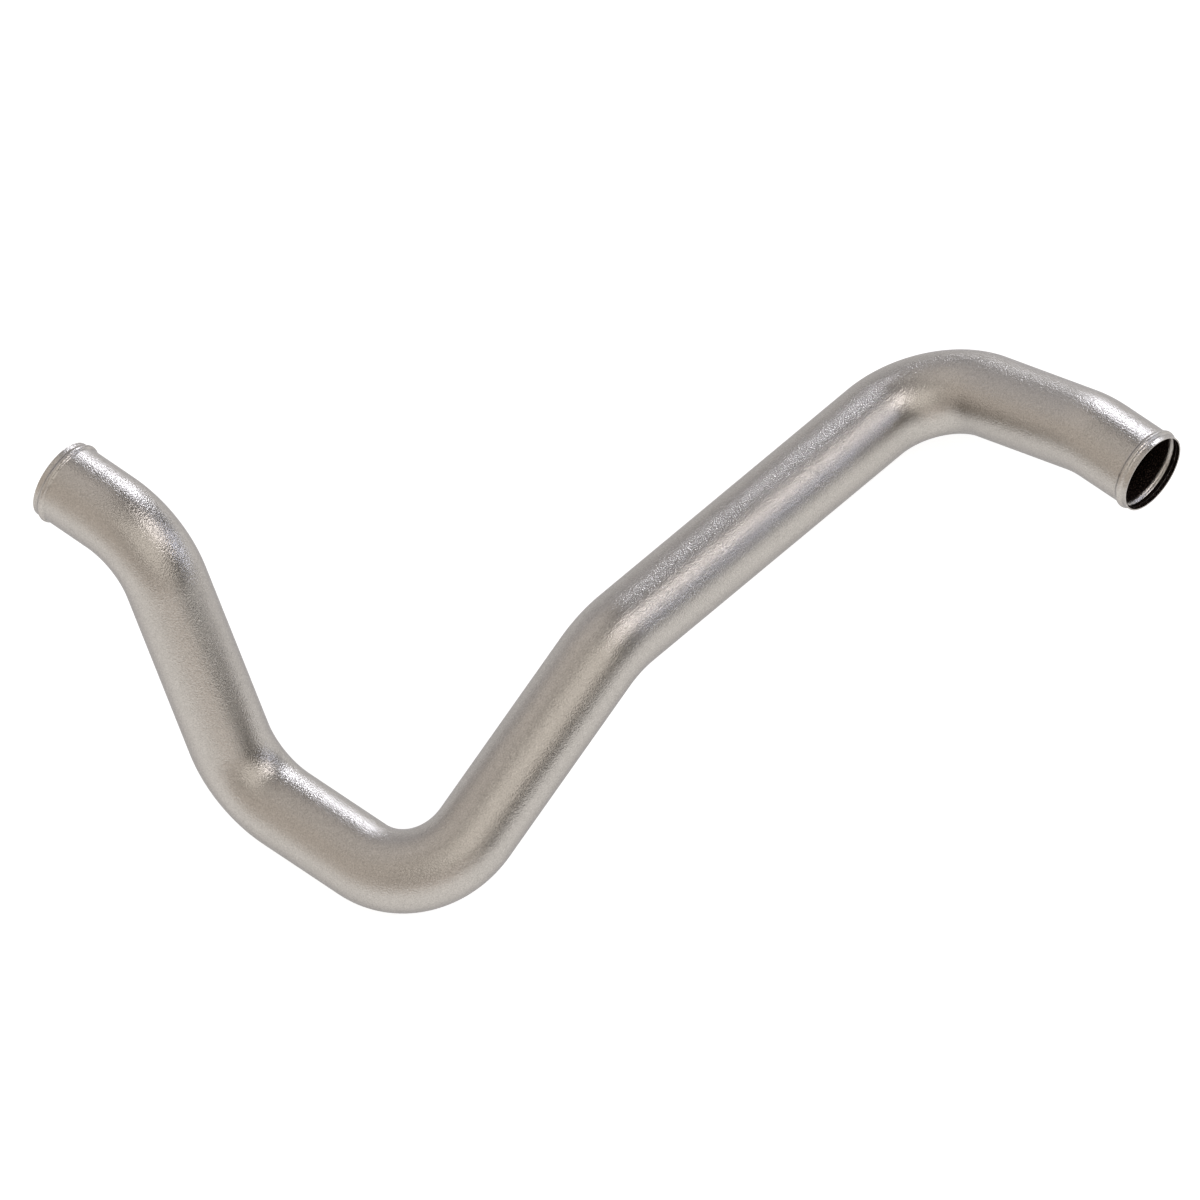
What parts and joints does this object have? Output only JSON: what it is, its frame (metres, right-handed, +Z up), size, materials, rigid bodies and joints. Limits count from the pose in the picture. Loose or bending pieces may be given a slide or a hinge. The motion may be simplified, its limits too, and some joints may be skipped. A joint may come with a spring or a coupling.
{
  "type": "charge air cooler tube",
  "caption": "Bent thin-walled steel air duct for an engine bay, with a rolled hose bead at each open end and smooth bends between straight runs.",
  "frame": {"origin": "middle of the bounding box at its base, on the ground that the tube lies on", "axes": "+Z up, +X along the longest way of the lying tube, +Y out of the left mouth; the right mouth opens towards -Y"},
  "size_m": [1.0498, 0.9582, 0.4104],
  "materials": {
    "tube_steel": "satin, finely blasted bare steel"
  },
  "bodies": {
    "root": {"charge_air_tube": "tube_steel"}
  },
  "joints": []
}
